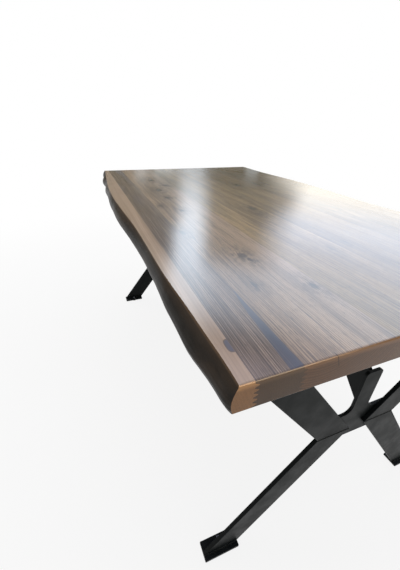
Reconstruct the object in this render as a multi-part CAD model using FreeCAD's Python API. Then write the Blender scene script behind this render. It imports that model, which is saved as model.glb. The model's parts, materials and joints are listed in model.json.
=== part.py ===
import FreeCAD, Part
import math
import os

# Live edge dining table: seven glued boards on two flat bar trestles.
# Millimetres. +X runs along the boards, +Z is up, and the origin is on the floor
# under the middle of the table.

V = FreeCAD.Vector

# ---- driving dimensions -------------------------------------------------------------
TABLE_HEIGHT = 762.0
TOP_LENGTH = 1524.0
TOP_WIDTH = 833.0            # between the two upper arrises, at the ends
TOP_THICK = 44.0
SEAM_OFFSETS = (20.0, 85.0, 237.0, 408.0, 575.0, 750.0)   # from the left arris line
END_ROUND_TOP = 3.5
END_ROUND_BOTTOM = 1.5

FINGER_COUNT = 5
FINGER_DEPTH = 6.0
FINGER_SHOULDER = 2.15       # plain glue line above and below the fingers
FINGER_TIP = 1.4             # flat at each finger's tip and root

BAR_WIDTH = 76.0
BAR_THICK = 10.0
TRESTLE_INSET = 96.0         # from the table's end to the bars' middle plane
ARM_ANGLE = 52.07            # from the horizontal
ARM_END_Y = 345.5            # centre line of an arm at the top plate and at the foot

TOP_PLATE_LENGTH = 810.0
TOP_PLATE_WIDTH = 100.0
TOP_PLATE_THICK = 6.0
FOOT_PLATE_SIZE = (44.0, 97.0, 8.0)
FOOT_PLATE_INWARD = 5.0      # the foot plate's middle, from the bars' middle plane
PLATE_CORNER = 10.0          # rounding of the plates' corners, seen from above
FOOT_CORNER = 2.0
GUSSET_THICK = 8.0
GUSSET_HALF = (102.0, 44.0)  # the crosspiece's half width and half height
GUSSET_STEM = (25.0, 118.0)  # the stem's half width, and its reach above the brace's foot
GUSSET_HOLLOW = 22.0         # rounding where the stem meets the crosspiece
BRACE_THICK = 10.0
BRACE_LINE = 1071.0          # x + z along the knee brace's lower edge, which rises at 45 degrees
TAB_SIZE = (150.0, 76.0, 6.0)

GLIDE_PAD_RADIUS = 11.0
GLIDE_PAD_THICK = 3.0
GLIDE_PAD_RIM = 0.8
GLIDE_STUD_RADIUS = 4.0
GLIDE_STUD_REACH = 12.0      # above the foot plate
GLIDE_SOCKET = (2.0, 4.0)    # half the width across flats, depth
GLIDE_CLEARANCE = 0.05
GLIDE_INWARD = 16.0          # the glides' axes, from the bars' middle plane

PLATE_FIXINGS = ((-32.0, -280.0), (32.0, -90.0), (-32.0, 90.0), (32.0, 280.0))
SLOTTED_Y = 200.0            # fixings further out than this sit in slots
SLOT_TRAVEL = 4.0            # room for the top to shrink and swell, each way
TAB_FIXINGS = ((-62.0, 24.0), (62.0, -24.0))
SCREW_RADIUS = 4.0
SCREW_HOLE_RADIUS = 4.5
SCREW_REACH = 32.0           # into the wood
SCREW_HEAD = (6.5, 5.5)      # half the width across flats, height
SCREW_FLANGE = (9.0, 1.6)    # radius, thickness

# ---- worked out from them -----------------------------------------------------------
HALF_LENGTH = TOP_LENGTH / 2
HALF_WIDTH = TOP_WIDTH / 2
UNDERSIDE = TABLE_HEIGHT - TOP_THICK
PLATE_UNDERSIDE = UNDERSIDE - TOP_PLATE_THICK
FOOT_PLATE_TOP = GLIDE_PAD_THICK + FOOT_PLATE_SIZE[2]
WAIST = (PLATE_UNDERSIDE + FOOT_PLATE_TOP) / 2
TRESTLE_X = HALF_LENGTH - TRESTLE_INSET
BAR_FACE_X = TRESTLE_X - BAR_THICK / 2        # the bars' faces towards the middle of the table
TAB_UNDERSIDE = UNDERSIDE - TAB_SIZE[2]
BRACE_DEPTH = BAR_WIDTH * math.sqrt(2)        # measured level or upright, as the brace lies at 45 degrees
BRACE_FOOT_X = BAR_FACE_X - GUSSET_THICK
BRACE_FOOT_Z = BRACE_LINE - BRACE_FOOT_X
BRACE_HEAD_X = BRACE_LINE - TAB_UNDERSIDE
SEAMS = [offset - HALF_WIDTH for offset in SEAM_OFFSETS]
ENDS = {"near": 1, "far": -1}
SIDES = {"left": -1, "right": 1}

# Stock left on the boards while they are made, and the closeness that counts as touching.
SPARE_LENGTH = 2.0
SPARE_HEIGHT = 3.0
SPARE_WIDTH = 80.0
INNER_REACH = 120.0
TINY = 0.01

# The live edge's profile: where its shoulder and its fullest part lie, as shares of its
# flare and of the top's thickness, and how many flats stand for its curve.
SHOULDER_OUT = 0.55
SHOULDER_DOWN = 0.22
FULLEST_DOWN = 0.62
BARK_FACETS = 6

# How far each live edge stands outside its arris line along the table, as
# (x from the near end, upper arris, fullest part of the side, lower arris).
LEFT_EDGE = (
    (0, -0.3, 5.5, 2.5),
    (12, -0.8, 12.6, 7.6),
    (28, -0.9, 14.1, 8.6),
    (56, -0.2, 16.9, 9.8),
    (84, 0.9, 21.6, 12.7),
    (115, 2.0, 24.7, 13.8),
    (150, 3.2, 24.5, 12.5),
    (190, 5.1, 25.0, 13.8),
    (235, 7.6, 24.5, 15.7),
    (285, 9.3, 22.1, 15.4),
    (340, 9.9, 21.5, 15.6),
    (400, 9.9, 21.3, 14.6),
    (470, 10.2, 23.6, 15.0),
    (550, 11.8, 28.0, 16.9),
    (640, 15.9, 34.3, 22.4),
    (730, 20.9, 39.4, 28.9),
    (810, 24.7, 39.7, 31.0),
    (880, 26.7, 40.3, 33.1),
    (960, 27.1, 38.5, 30.4),
    (1060, 25.6, 35.4, 25.8),
    (1170, 20.3, 31.5, 21.1),
    (1290, 12.2, 26.3, 15.3),
    (1410, 4.4, 20.8, 11.0),
    (1524, 0.0, 11.0, 2.0),
)
RIGHT_EDGE = (
    (0, 0, 14, 6),
    (120, 4, 19, 12),
    (260, 9, 27, 18),
    (400, 5, 24, 14),
    (540, -2, 16, 7),
    (680, 3, 21, 12),
    (820, 12, 33, 22),
    (950, 19, 40.1, 29),
    (1080, 14, 36, 24),
    (1210, 4, 24, 12),
    (1340, -1, 15, 6),
    (1450, 3, 19, 10),
    (1524, 0, 16, 8),
)


def prism(points, direction):
    """A straight solid on a closed outline of straight sides."""
    outline = Part.makePolygon(list(points) + [points[0]])
    return outward(Part.Face(outline).extrude(direction))


def outward(solid):
    """The solid with its faces pointing outwards."""
    if solid.Volume < 0:
        solid.reverse()
    return solid


def box(x0, x1, y0, y1, z0, z1):
    return Part.makeBox(x1 - x0, y1 - y0, z1 - z0, V(x0, y0, z0))


def upright_cylinder(radius, x, y, z0, z1):
    return Part.makeCylinder(radius, z1 - z0, V(x, y, z0), V(0, 0, 1))


def save(shape, node):
    shape.exportStep("parts/" + node + ".step")


# ---- the top ------------------------------------------------------------------------
def finger_line(seam):
    """The glue line between two boards, from the underside to the top, as points in y and z."""
    low = UNDERSIDE + FINGER_SHOULDER
    pitch = (TOP_THICK - 2 * FINGER_SHOULDER) / FINGER_COUNT
    slope = (pitch - 2 * FINGER_TIP) / 2
    line = [V(0, seam, UNDERSIDE - 1), V(0, seam, low)]
    for finger in range(FINGER_COUNT):
        start = low + finger * pitch
        line.append(V(0, seam + FINGER_DEPTH, start + slope))
        line.append(V(0, seam + FINGER_DEPTH, start + slope + FINGER_TIP))
        line.append(V(0, seam, start + 2 * slope + FINGER_TIP))
        line.append(V(0, seam, start + pitch))
    line.append(V(0, seam, TABLE_HEIGHT + 1))
    return line


def board_blank(left, right):
    """The board's section between two glue lines, or out past a live edge, run along the table."""
    reach = HALF_WIDTH + INNER_REACH
    left_line = finger_line(left) if left is not None else [
        V(0, -reach, UNDERSIDE - 1), V(0, -reach, TABLE_HEIGHT + 1)]
    right_line = finger_line(right) if right is not None else [
        V(0, reach, UNDERSIDE - 1), V(0, reach, TABLE_HEIGHT + 1)]
    outline = left_line + right_line[::-1]
    length = TOP_LENGTH + SPARE_LENGTH
    blank = prism(outline, V(length, 0, 0))
    blank.translate(V(-length / 2, 0, 0))
    return blank


def end_edges(slab, z):
    """The slab's two edges across the table's ends, at a height."""
    return [
        edge for edge in slab.Edges
        if abs(edge.CenterOfMass.z - z) < TINY and abs(abs(edge.CenterOfMass.x) - HALF_LENGTH) < TINY
        and abs(edge.CenterOfMass.y) < TINY
    ]


def end_envelope():
    """The slab that the boards are planed and trimmed to, with its end arrises rounded."""
    reach = HALF_WIDTH + SPARE_WIDTH
    slab = box(-HALF_LENGTH, HALF_LENGTH, -reach, reach, UNDERSIDE, TABLE_HEIGHT)
    slab = slab.makeFillet(END_ROUND_TOP, end_edges(slab, TABLE_HEIGHT))
    return slab.makeFillet(END_ROUND_BOTTOM, end_edges(slab, UNDERSIDE))


def bark_line(x, side, arris, full, foot):
    """The live edge's profile from the upper arris to the lower one, as points on a smooth curve."""
    shoulder = arris + SHOULDER_OUT * (full - arris)
    profile = [
        V(x, side * (HALF_WIDTH + arris), TABLE_HEIGHT),
        V(x, side * (HALF_WIDTH + shoulder), TABLE_HEIGHT - SHOULDER_DOWN * TOP_THICK),
        V(x, side * (HALF_WIDTH + full), TABLE_HEIGHT - FULLEST_DOWN * TOP_THICK),
        V(x, side * (HALF_WIDTH + foot), UNDERSIDE),
    ]
    curve = Part.BSplineCurve()
    curve.interpolate(profile)
    first, last = curve.FirstParameter, curve.LastParameter
    steps = [first + (last - first) * step / BARK_FACETS for step in range(BARK_FACETS + 1)]
    return [curve.value(step) for step in steps]


def live_edge_section(x, side, arris, full, foot):
    """One cross-section of a live edge board, a little taller than the slab it is trimmed to."""
    bark = bark_line(x, side, arris, full, foot)
    inside = side * (HALF_WIDTH - INNER_REACH)
    spare = V(0, 0, SPARE_HEIGHT)
    rest = [
        bark[-1] - spare,
        V(x, inside, UNDERSIDE) - spare,
        V(x, inside, TABLE_HEIGHT) + spare,
        bark[0] + spare,
    ]
    return Part.makePolygon(bark + rest + [bark[0]])


def live_edge_slab(side, stations):
    """The wavy, flared side of the tree, lofted smoothly through its sections."""
    stretch = 1 + SPARE_LENGTH / HALF_LENGTH
    sections = [
        live_edge_section((HALF_LENGTH - along) * stretch, side, arris, full, foot)
        for along, arris, full, foot in stations
    ]
    return outward(Part.makeLoft(sections, True, False))


def pilot_bores(places):
    """Blind holes in the underside for the fixing screws."""
    return Part.makeCompound([
        upright_cylinder(SCREW_RADIUS, x, y, UNDERSIDE - 1, UNDERSIDE + SCREW_REACH) for x, y in places
    ])


def board(left, right, fixings):
    """One board between its glue lines; a missing line means that side is a live edge."""
    shape = board_blank(left, right).common(end_envelope())
    if left is None:
        shape = shape.common(live_edge_slab(-1, LEFT_EDGE))
    if right is None:
        shape = shape.common(live_edge_slab(1, RIGHT_EDGE))
    if fixings:
        shape = shape.cut(pilot_bores(fixings))
    return shape.Solids[0]


def make_boards(fixings):
    lines = [None] + SEAMS + [None]
    last = len(lines) - 2
    for number in range(len(lines) - 1):
        left, right = lines[number], lines[number + 1]
        low = left if left is not None else -HALF_WIDTH
        high = right if right is not None else HALF_WIDTH
        here = [(x, y) for x, y in fixings if low < y < high]
        kind = "_live_edge" if number in (0, last) else ""
        save(board(left, right, here), "board_" + str(number + 1) + kind)


# ---- the trestles -------------------------------------------------------------------
def arm_line(z):
    """How far an arm's centre line is from the table's middle, at a height."""
    from_waist = abs(z - WAIST)
    reach = (PLATE_UNDERSIDE - FOOT_PLATE_TOP) / 2
    waist_y = ARM_END_Y - reach / math.tan(math.radians(ARM_ANGLE))
    return waist_y + (ARM_END_Y - waist_y) * from_waist / reach


def arm(end, side, z_end):
    """A flat bar from the waist up to the top plate, or down to the foot, cut level at both ends."""
    half = BAR_WIDTH / 2 / math.sin(math.radians(ARM_ANGLE))
    x = ENDS[end] * TRESTLE_X - BAR_THICK / 2
    waist_y = arm_line(WAIST)
    corners = [
        V(x, SIDES[side] * (waist_y - half), WAIST),
        V(x, SIDES[side] * (waist_y + half), WAIST),
        V(x, SIDES[side] * (ARM_END_Y + half), z_end),
        V(x, SIDES[side] * (ARM_END_Y - half), z_end),
    ]
    return prism(corners, V(BAR_THICK, 0, 0))


def round_corners(plate, radius, wanted):
    """The plate with those of its corners rounded whose edges are wanted."""
    return plate.makeFillet(radius, [edge for edge in plate.Edges if wanted(edge.CenterOfMass)])


def waist_gusset(end):
    """An inverted T of plate: the crosspiece joins the two pairs of arms, the stem carries the brace."""
    half_width, half_height = GUSSET_HALF
    half_stem, stem_reach = GUSSET_STEM
    low, shoulder = WAIST - half_height, WAIST + half_height
    high = BRACE_FOOT_Z + stem_reach
    x = ENDS[end] * BAR_FACE_X
    plate = prism(
        [
            V(x, -half_width, low), V(x, half_width, low),
            V(x, half_width, shoulder), V(x, half_stem, shoulder),
            V(x, half_stem, high), V(x, -half_stem, high),
            V(x, -half_stem, shoulder), V(x, -half_width, shoulder),
        ],
        V(-ENDS[end] * GUSSET_THICK, 0, 0),
    )
    middle_x = x - ENDS[end] * GUSSET_THICK / 2

    def is_hollow(point):
        at_stem = abs(abs(point.y) - half_stem) < TINY and abs(point.z - shoulder) < TINY
        return at_stem and abs(point.x - middle_x) < TINY

    def is_corner(point):
        return abs(point.x - middle_x) < TINY and not is_hollow(point)

    return round_corners(round_corners(plate, PLATE_CORNER, is_corner), GUSSET_HOLLOW, is_hollow)


def knee_brace(end):
    """A flat bar on edge, rising inwards from the gusset's stem to the tab under the top."""
    sign = ENDS[end]
    corners = [
        V(sign * BRACE_FOOT_X, -BRACE_THICK / 2, BRACE_FOOT_Z),
        V(sign * BRACE_HEAD_X, -BRACE_THICK / 2, TAB_UNDERSIDE),
        V(sign * (BRACE_HEAD_X + BRACE_DEPTH), -BRACE_THICK / 2, TAB_UNDERSIDE),
        V(sign * BRACE_FOOT_X, -BRACE_THICK / 2, BRACE_FOOT_Z + BRACE_DEPTH),
    ]
    return prism(corners, V(0, BRACE_THICK, 0))


def flat_plate(middle, half_x, half_y, z0, z1, corner):
    """A level plate round a middle point in plan, its upright corners rounded."""
    x, y = middle
    plate = box(x - half_x, x + half_x, y - half_y, y + half_y, z0, z1)
    return round_corners(plate, corner, lambda point: abs(point.z - (z0 + z1) / 2) < TINY)


def tab_middle(end):
    """Where the middle of the brace's tab is along the table."""
    return ENDS[end] * (BRACE_HEAD_X + BRACE_DEPTH / 2)


def brace_tab(end):
    middle = (tab_middle(end), 0)
    plate = flat_plate(middle, TAB_SIZE[0] / 2, TAB_SIZE[1] / 2, TAB_UNDERSIDE, UNDERSIDE, PLATE_CORNER)
    for x, y in tab_fixings(end):
        plate = plate.cut(fixing_hole(x, y, TAB_UNDERSIDE))
    return plate


def tab_fixings(end):
    return [(tab_middle(end) + along, across) for along, across in TAB_FIXINGS]


def plate_fixings(end):
    return [(ENDS[end] * (TRESTLE_X + along), across) for along, across in PLATE_FIXINGS]


def fixing_hole(x, y, under):
    """A round hole, or a slot across the table where the wood needs room to move."""
    low, high = under - 1, UNDERSIDE + 1
    if abs(y) < SLOTTED_Y:
        return upright_cylinder(SCREW_HOLE_RADIUS, x, y, low, high)
    slot = box(x - SCREW_HOLE_RADIUS, x + SCREW_HOLE_RADIUS, y - SLOT_TRAVEL, y + SLOT_TRAVEL, low, high)
    for away in (-SLOT_TRAVEL, SLOT_TRAVEL):
        slot = slot.fuse(upright_cylinder(SCREW_HOLE_RADIUS, x, y + away, low, high))
    return slot.removeSplitter()


def top_plate(end):
    """The flat bar that the arms are welded to and the top is screwed to."""
    middle = (ENDS[end] * TRESTLE_X, 0)
    half_x, half_y = TOP_PLATE_WIDTH / 2, TOP_PLATE_LENGTH / 2
    plate = flat_plate(middle, half_x, half_y, PLATE_UNDERSIDE, UNDERSIDE, PLATE_CORNER)
    for x, y in plate_fixings(end):
        plate = plate.cut(fixing_hole(x, y, PLATE_UNDERSIDE))
    return plate


def foot_plate(end, side):
    """The small plate under a lower arm, bored for its glide."""
    middle = (ENDS[end] * (TRESTLE_X - FOOT_PLATE_INWARD), SIDES[side] * ARM_END_Y)
    half_x, half_y = FOOT_PLATE_SIZE[0] / 2, FOOT_PLATE_SIZE[1] / 2
    plate = flat_plate(middle, half_x, half_y, GLIDE_PAD_THICK, FOOT_PLATE_TOP, FOOT_CORNER)
    x, y = glide_axis(end, side)
    return plate.cut(upright_cylinder(GLIDE_STUD_RADIUS + GLIDE_CLEARANCE, x, y, 0, FOOT_PLATE_TOP + 1))


# ---- feet and fasteners -------------------------------------------------------------
def glide_axis(end, side):
    return ENDS[end] * (TRESTLE_X - GLIDE_INWARD), SIDES[side] * ARM_END_Y


def glide_pad(end, side):
    """The low moulded disc that stands on the floor, its lower rim cut back."""
    x, y = glide_axis(end, side)
    pad = upright_cylinder(GLIDE_PAD_RADIUS, x, y, 0, GLIDE_PAD_THICK)
    return pad.makeChamfer(GLIDE_PAD_RIM, circles_at(pad, 0))


def circles_at(turned, z):
    """The full circles of an upright turned solid, at a height."""
    return [edge for edge in turned.Edges if edge.isClosed() and abs(edge.CenterOfMass.z - z) < TINY]


def glide_stud(end, side):
    """The threaded stud that screws through the foot plate, with a hexagon socket in its top."""
    x, y = glide_axis(end, side)
    top = FOOT_PLATE_TOP + GLIDE_STUD_REACH
    half_flats, depth = GLIDE_SOCKET
    stud = upright_cylinder(GLIDE_STUD_RADIUS, x, y, GLIDE_PAD_THICK, top)
    return stud.cut(hexagon(half_flats, x, y, top - depth, top + 1))


def hexagon(half_flats, x, y, z0, z1):
    """An upright hexagonal prism."""
    corner = half_flats / math.cos(math.pi / 6)
    points = [
        V(x + corner * math.cos(turn * math.pi / 3), y + corner * math.sin(turn * math.pi / 3), z0)
        for turn in range(6)
    ]
    return prism(points, V(0, 0, z1 - z0))


def fixing_screw(x, y, under):
    """A flanged hexagon head coach screw, driven up through a plate into the top."""
    flange_base = under - SCREW_FLANGE[1]
    head = hexagon(SCREW_HEAD[0], x, y, flange_base - SCREW_HEAD[1], flange_base)
    flange = upright_cylinder(SCREW_FLANGE[0], x, y, flange_base, under)
    shank = upright_cylinder(SCREW_RADIUS, x, y, under, UNDERSIDE + SCREW_REACH)
    return head.fuse(flange).fuse(shank).removeSplitter()


def make_screws():
    """All the fixing screws are one node, a group of separate solids."""
    screws = []
    for end in ENDS:
        screws += [fixing_screw(x, y, PLATE_UNDERSIDE) for x, y in plate_fixings(end)]
        screws += [fixing_screw(x, y, TAB_UNDERSIDE) for x, y in tab_fixings(end)]
    save(Part.makeCompound(screws), "top_fixing_screws")


def make_trestle(end):
    save(top_plate(end), end + "_top_plate")
    save(waist_gusset(end), end + "_waist_gusset")
    save(knee_brace(end), end + "_knee_brace")
    save(brace_tab(end), end + "_brace_tab")
    for side in SIDES:
        save(arm(end, side, PLATE_UNDERSIDE), end + "_upper_arm_" + side)
        save(arm(end, side, FOOT_PLATE_TOP), end + "_lower_arm_" + side)
        save(foot_plate(end, side), end + "_foot_plate_" + side)
        save(glide_pad(end, side), end + "_glide_pad_" + side)
        save(glide_stud(end, side), end + "_glide_stud_" + side)


def main():
    os.makedirs("parts", exist_ok=True)
    fixings = [place for end in ENDS for place in plate_fixings(end) + tab_fixings(end)]
    make_boards(fixings)
    for end in ENDS:
        make_trestle(end)
    make_screws()


main()
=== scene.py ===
import json
import math

import bpy
from bpy.props import FloatProperty, FloatVectorProperty, PointerProperty
from mathutils import Matrix, Vector

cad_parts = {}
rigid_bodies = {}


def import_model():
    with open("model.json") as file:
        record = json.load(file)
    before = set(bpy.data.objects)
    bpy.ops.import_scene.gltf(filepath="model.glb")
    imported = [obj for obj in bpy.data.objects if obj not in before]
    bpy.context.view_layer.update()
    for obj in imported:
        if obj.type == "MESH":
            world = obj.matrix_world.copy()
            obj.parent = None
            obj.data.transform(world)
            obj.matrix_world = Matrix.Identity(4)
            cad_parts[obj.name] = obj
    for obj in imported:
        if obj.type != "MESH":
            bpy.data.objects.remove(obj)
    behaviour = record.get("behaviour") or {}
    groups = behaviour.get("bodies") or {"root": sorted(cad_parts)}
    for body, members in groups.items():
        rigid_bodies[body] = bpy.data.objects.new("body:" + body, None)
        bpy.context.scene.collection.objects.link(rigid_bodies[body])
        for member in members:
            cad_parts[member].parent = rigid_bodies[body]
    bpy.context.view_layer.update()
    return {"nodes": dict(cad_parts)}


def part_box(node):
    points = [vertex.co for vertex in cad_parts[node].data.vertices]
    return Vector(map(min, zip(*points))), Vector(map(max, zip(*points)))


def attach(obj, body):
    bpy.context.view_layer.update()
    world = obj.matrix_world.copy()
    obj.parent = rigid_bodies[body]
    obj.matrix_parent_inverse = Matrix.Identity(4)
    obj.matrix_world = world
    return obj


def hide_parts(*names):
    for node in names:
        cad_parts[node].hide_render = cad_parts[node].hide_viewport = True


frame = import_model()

bl_info = {
    "name": "Live edge dining table",
    "version": (1, 0, 0),
    "blender": (4, 5, 0),
    "location": "View3D > Sidebar > Table",
    "description": "Finishes a live edge dining table on flat bar trestles",
    "category": "Object",
}

# ---- the part, from the frame ----
NODES = frame["nodes"]
BODY = "table"
ENDS = {"near": 1, "far": -1}  # each end's sign along x
HANDS = {"left": -1, "right": 1}  # each side's sign along y
LIVE_EDGES = {"board_1_live_edge": HANDS["left"], "board_7_live_edge": HANDS["right"]}
STEEL_NAMES = ("_arm_", "_top_plate", "_gusset", "_knee_brace", "_tab", "_foot_plate")

TOP_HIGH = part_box("board_4")[1]
TOP_Z = TOP_HIGH.z
HALF_LENGTH = TOP_HIGH.x
LEFT_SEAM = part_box("board_1_live_edge")[1].y  # the tips of the first glue joint
TOP_WIDTH = 0.833  # between the long upper arrises
BARK_FROM = TOP_WIDTH / 2 - 0.008  # the bark sides lie further out than this


def across_top(share):
    """A place across the top, from its share of the width, where 0 is the left arris."""
    return (share - 0.5) * TOP_WIDTH


# ---- colours ----
def srgb(red, green, blue):
    """A colour as it is written in 8-bit sRGB, as scene-linear numbers."""
    linear = []
    for value in (red / 255, green / 255, blue / 255):
        linear.append(value / 12.92 if value <= 0.04045 else ((value + 0.055) / 1.055) ** 2.4)
    return linear


def toned(colour, *factors):
    """A colour times one factor, or times one each for red, green and blue."""
    if len(factors) == 1:
        factors = factors * 3
    return [part * factor for part, factor in zip(colour, factors)]


def opaque(colour):
    """A socket as it is, or a colour with full alpha."""
    if isinstance(colour, bpy.types.NodeSocket):
        return colour
    return (*colour, 1.0)


# ---- settings that a user would change ----
def colour_property(name, description, default):
    """A colour that the sidebar shows as a swatch."""
    return FloatVectorProperty(
        name=name, description=description, subtype="COLOR", size=3, min=0, max=1, default=default)


def length_property(name, description, default):
    """A length in metres."""
    return FloatProperty(
        name=name, description=description, subtype="DISTANCE", unit="LENGTH", min=0, default=default)


class TopSettings(bpy.types.PropertyGroup):
    """The wood's colours and the live edges' wear"""
    pale: colour_property("Pale wood", "Early growth and sapwood", srgb(164, 146, 124))
    brown: colour_property("Brown wood", "Late growth of the heartwood", srgb(110, 94, 75))
    dark: colour_property("Dark streaks", "Mineral and heart streaks", srgb(60, 52, 46))
    slate: colour_property("Slate streak", "The blue-grey wedge beside a glue line", srgb(62, 64, 76))
    end_grain: colour_property("End grain", "The sawn ends", srgb(158, 116, 76))
    bark_side: colour_property("Bark side", "The dark live edge", srgb(52, 49, 46))
    arris: length_property("Arris", "Width of the eased live edge arris", 0.0026)
    ripple: length_property("Ripple", "Depth of the live edge's tool-eased hollows", 0.0006)


class SteelSettings(bpy.types.PropertyGroup):
    """The trestles' finish and their small shapes"""
    coat: colour_property("Powder coat", "The trestles' finish", srgb(17, 21, 21))
    bar_arris: length_property("Bar arris", "Rounding of the flat bar's rolled corners", 0.0009)
    weld_radius: length_property("Weld", "Half the width of a weld bead", 0.0032)


class StageSettings(bpy.types.PropertyGroup):
    """The floor and the light"""
    floor: colour_property("Floor", "The studio floor", (0.86, 0.86, 0.86))
    room: FloatProperty(
        name="Room light", description="Strength of the light all round", default=0.45, min=0)
    overhead: FloatProperty(
        name="Overhead light", description="Power of the soft box above", default=50, min=0, unit="POWER")


# ---- ways to build nodes ----
def add(tree, kind, inputs=None, **settings):
    """A node with its settings, whose inputs are joined to sockets or set to values."""
    node = tree.nodes.new(kind)
    for name, value in settings.items():
        setattr(node, name, value)
    for key, value in (inputs or {}).items():
        if isinstance(value, bpy.types.NodeSocket):
            tree.links.new(value, node.inputs[key])
        else:
            node.inputs[key].default_value = value
    return node


def calc(tree, operation, *values, clamp=False):
    """One step of arithmetic."""
    inputs = dict(enumerate(values))
    return add(tree, "ShaderNodeMath", inputs, operation=operation, use_clamp=clamp).outputs[0]


def times(tree, a, b):
    return calc(tree, "MULTIPLY", a, b)


def plus(tree, a, b):
    return calc(tree, "ADD", a, b)


def minus(tree, a, b):
    return calc(tree, "SUBTRACT", a, b)


def larger(tree, a, b):
    return calc(tree, "MAXIMUM", a, b)


def ramp(tree, value, low, high, start=0.0, end=1.0):
    """A smooth step of value from start at low to end at high."""
    inputs = {0: value, 1: low, 2: high, 3: start, 4: end}
    return add(tree, "ShaderNodeMapRange", inputs, interpolation_type="SMOOTHSTEP").outputs[0]


def blend(tree, factor, a, b):
    """Colour a where the factor is 0 and colour b where it is 1."""
    inputs = {0: factor, 6: opaque(a), 7: opaque(b)}
    return add(tree, "ShaderNodeMix", inputs, data_type="RGBA").outputs[2]


def axes_of(tree, vector):
    """A vector's x, y and z."""
    return add(tree, "ShaderNodeSeparateXYZ", {0: vector}).outputs


def noise(tree, vector, scale=1.0, detail=2.0, roughness=0.5, stretch=(1, 1, 1), shift=(0, 0, 0)):
    """Noise whose features are 1/scale long, over a vector that is stretched first."""
    place = add(tree, "ShaderNodeMapping", {"Vector": vector, "Scale": stretch, "Location": shift})
    inputs = {"Vector": place.outputs[0], "Scale": scale, "Detail": detail, "Roughness": roughness}
    return add(tree, "ShaderNodeTexNoise", inputs).outputs[0]


def centred(tree, value, strength):
    """Noise moved to lie about 0, times a strength."""
    return times(tree, minus(tree, value, 0.5), strength)


def bump(tree, height, strength, distance):
    """A surface normal with a height's relief on it."""
    inputs = {"Height": height, "Strength": strength, "Distance": distance}
    return add(tree, "ShaderNodeBump", inputs).outputs[0]


def join(tree, sockets, sources):
    """Link sources to sockets by the sockets' names."""
    for name, source in sources.items():
        tree.links.new(source, sockets[name])


def new_group(name, inputs, outputs):
    """An empty shader group, its inputs and its outputs. An input's value is None for a vector."""
    tree = bpy.data.node_groups.new(name, "ShaderNodeTree")
    for label, default in inputs.items():
        kind = "NodeSocketVector" if default is None else "NodeSocketFloat"
        socket = tree.interface.new_socket(label, in_out="INPUT", socket_type=kind)
        if default is not None:
            socket.default_value = default
    for label in outputs:
        tree.interface.new_socket(label, in_out="OUTPUT", socket_type="NodeSocketFloat")
    return tree, tree.nodes.new("NodeGroupInput").outputs, tree.nodes.new("NodeGroupOutput").inputs


def place_group(tree, name, inputs):
    """A shared group's outputs, with its inputs joined or set."""
    return add(tree, "ShaderNodeGroup", inputs, node_tree=bpy.data.node_groups[name]).outputs


# ---- shared effects ----
KNOT_NARROW = 0.5  # a knot's width, as a share of its length
KNOT_PARTING = 0.92  # how fully the grain runs round it, where 1 leaves none inside
FIBRE_SLANT = 0.3
FIBRE_DEPTH = 0.4  # fibres and pores run deeper than they are wide


def make_knot_group():
    """A knot: the grain parts round it, and its heart and its halo are darker."""
    inputs = {"Vector": None, "X": 0.0, "Y": 0.0, "Size": 0.012}
    tree, given, out = new_group("knot", inputs, ("Part", "Heart", "Halo"))
    place, size = given["Vector"], given["Size"]
    spot = axes_of(tree, place)
    wobble = centred(tree, noise(tree, place, 70.0, 3.0), size)
    dx = plus(tree, minus(tree, spot[0], given["X"]), wobble)
    dy = plus(tree, minus(tree, spot[1], given["Y"]), wobble)
    long_x = times(tree, dx, KNOT_NARROW)
    reach = plus(tree, times(tree, long_x, long_x), times(tree, dy, dy))
    size2 = times(tree, size, size)
    part = calc(tree, "DIVIDE", times(tree, dy, size2), plus(tree, reach, size2))
    distance = calc(tree, "DIVIDE", calc(tree, "SQRT", reach), size)
    flame = noise(tree, place, detail=4.0, roughness=0.65, stretch=(60, 110, 60), shift=(0, 3, 0))
    licks = ramp(tree, flame, 0.38, 0.62, 0.25, 1.0)
    join(tree, out, {
        "Part": times(tree, part, KNOT_PARTING),
        "Heart": ramp(tree, distance, 1.1, 0.35),
        "Halo": times(tree, ramp(tree, distance, 4.6, 0.6), licks)})


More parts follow.
